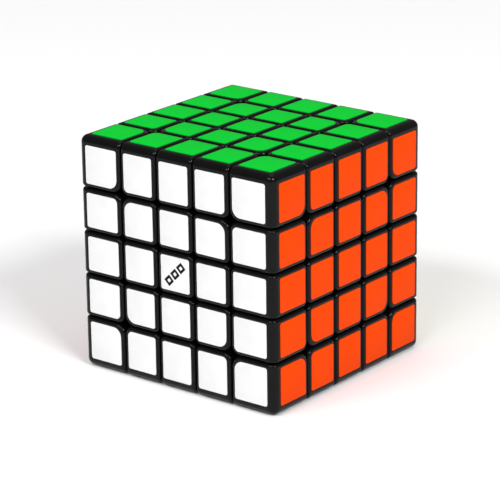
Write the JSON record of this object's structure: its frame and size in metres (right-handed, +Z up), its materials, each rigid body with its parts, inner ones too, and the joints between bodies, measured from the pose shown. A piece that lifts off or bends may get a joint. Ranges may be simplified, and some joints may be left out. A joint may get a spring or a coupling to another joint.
{
  "type": "twisty puzzle cube",
  "caption": "Stickered twisty puzzle cube whose layers turn about the upright axis on a sprung inner core.",
  "frame": {"origin": "centre of the core, where all the turning axes cross", "axes": "+Z up through the green face, -Y out of the white face, +X out of the orange face"},
  "size_m": [0.062, 0.062, 0.062],
  "materials": {
    "body_plastic": "satin black moulded plastic",
    "core_plastic": "plain white moulded plastic",
    "screw_steel": "zinc plated",
    "washer_steel": "plain steel",
    "spring_steel": "drawn spring wire",
    "green_vinyl": "green satin vinyl film",
    "blue_vinyl": "blue satin vinyl film",
    "white_vinyl": "white satin vinyl film",
    "yellow_vinyl": "yellow satin vinyl film",
    "orange_vinyl": "orange satin vinyl film",
    "red_vinyl": "red satin vinyl film"
  },
  "bodies": {
    "top_layer": {"top_corner_caps": "body_plastic", "top_corner_stems": "body_plastic", "top_face_centre_base": "body_plastic", "top_face_centre_cap": "body_plastic", "top_green_stickers": "green_vinyl", "top_mid_edge_caps": "body_plastic", "top_mid_edge_stems": "body_plastic", "top_orange_stickers": "orange_vinyl", "top_red_stickers": "red_vinyl", "top_t_centres": "body_plastic", "top_white_stickers": "white_vinyl", "top_wing_edge_caps": "body_plastic", "top_wing_edge_stems": "body_plastic", "top_x_centres": "body_plastic", "top_yellow_stickers": "yellow_vinyl"},
    "upper_inner_layer": {"upper_inner_orange_stickers": "orange_vinyl", "upper_inner_red_stickers": "red_vinyl", "upper_inner_t_centres": "body_plastic", "upper_inner_white_stickers": "white_vinyl", "upper_inner_wing_edge_caps": "body_plastic", "upper_inner_wing_edge_stems": "body_plastic", "upper_inner_x_centres": "body_plastic", "upper_inner_yellow_stickers": "yellow_vinyl"},
    "middle_layer": {"core": "core_plastic", "middle_face_centre_bases": "body_plastic", "middle_face_centre_caps": "body_plastic", "middle_mid_edge_caps": "body_plastic", "middle_mid_edge_stems": "body_plastic", "middle_orange_stickers": "orange_vinyl", "middle_red_stickers": "red_vinyl", "middle_t_centres": "body_plastic", "middle_white_stickers": "white_vinyl", "middle_yellow_stickers": "yellow_vinyl", "springs": "spring_steel", "tension_screws": "screw_steel", "washers": "washer_steel"},
    "lower_inner_layer": {"lower_inner_orange_stickers": "orange_vinyl", "lower_inner_red_stickers": "red_vinyl", "lower_inner_t_centres": "body_plastic", "lower_inner_white_stickers": "white_vinyl", "lower_inner_wing_edge_caps": "body_plastic", "lower_inner_wing_edge_stems": "body_plastic", "lower_inner_x_centres": "body_plastic", "lower_inner_yellow_stickers": "yellow_vinyl"},
    "bottom_layer": {"bottom_blue_stickers": "blue_vinyl", "bottom_corner_caps": "body_plastic", "bottom_corner_stems": "body_plastic", "bottom_face_centre_base": "body_plastic", "bottom_face_centre_cap": "body_plastic", "bottom_mid_edge_caps": "body_plastic", "bottom_mid_edge_stems": "body_plastic", "bottom_orange_stickers": "orange_vinyl", "bottom_red_stickers": "red_vinyl", "bottom_t_centres": "body_plastic", "bottom_white_stickers": "white_vinyl", "bottom_wing_edge_caps": "body_plastic", "bottom_wing_edge_stems": "body_plastic", "bottom_x_centres": "body_plastic", "bottom_yellow_stickers": "yellow_vinyl"}
  },
  "joints": [
    {"name": "top_layer_turn", "type": "hinge", "parent": "middle_layer", "child": "top_layer", "pos_m": [0, 0, 0], "axis": [0, 0, 1], "continuous": true},
    {"name": "upper_inner_layer_turn", "type": "hinge", "parent": "middle_layer", "child": "upper_inner_layer", "pos_m": [0, 0, 0], "axis": [0, 0, 1], "continuous": true},
    {"name": "lower_inner_layer_turn", "type": "hinge", "parent": "middle_layer", "child": "lower_inner_layer", "pos_m": [0, 0, 0], "axis": [0, 0, 1], "continuous": true},
    {"name": "bottom_layer_turn", "type": "hinge", "parent": "middle_layer", "child": "bottom_layer", "pos_m": [0, 0, 0], "axis": [0, 0, 1], "continuous": true}
  ]
}
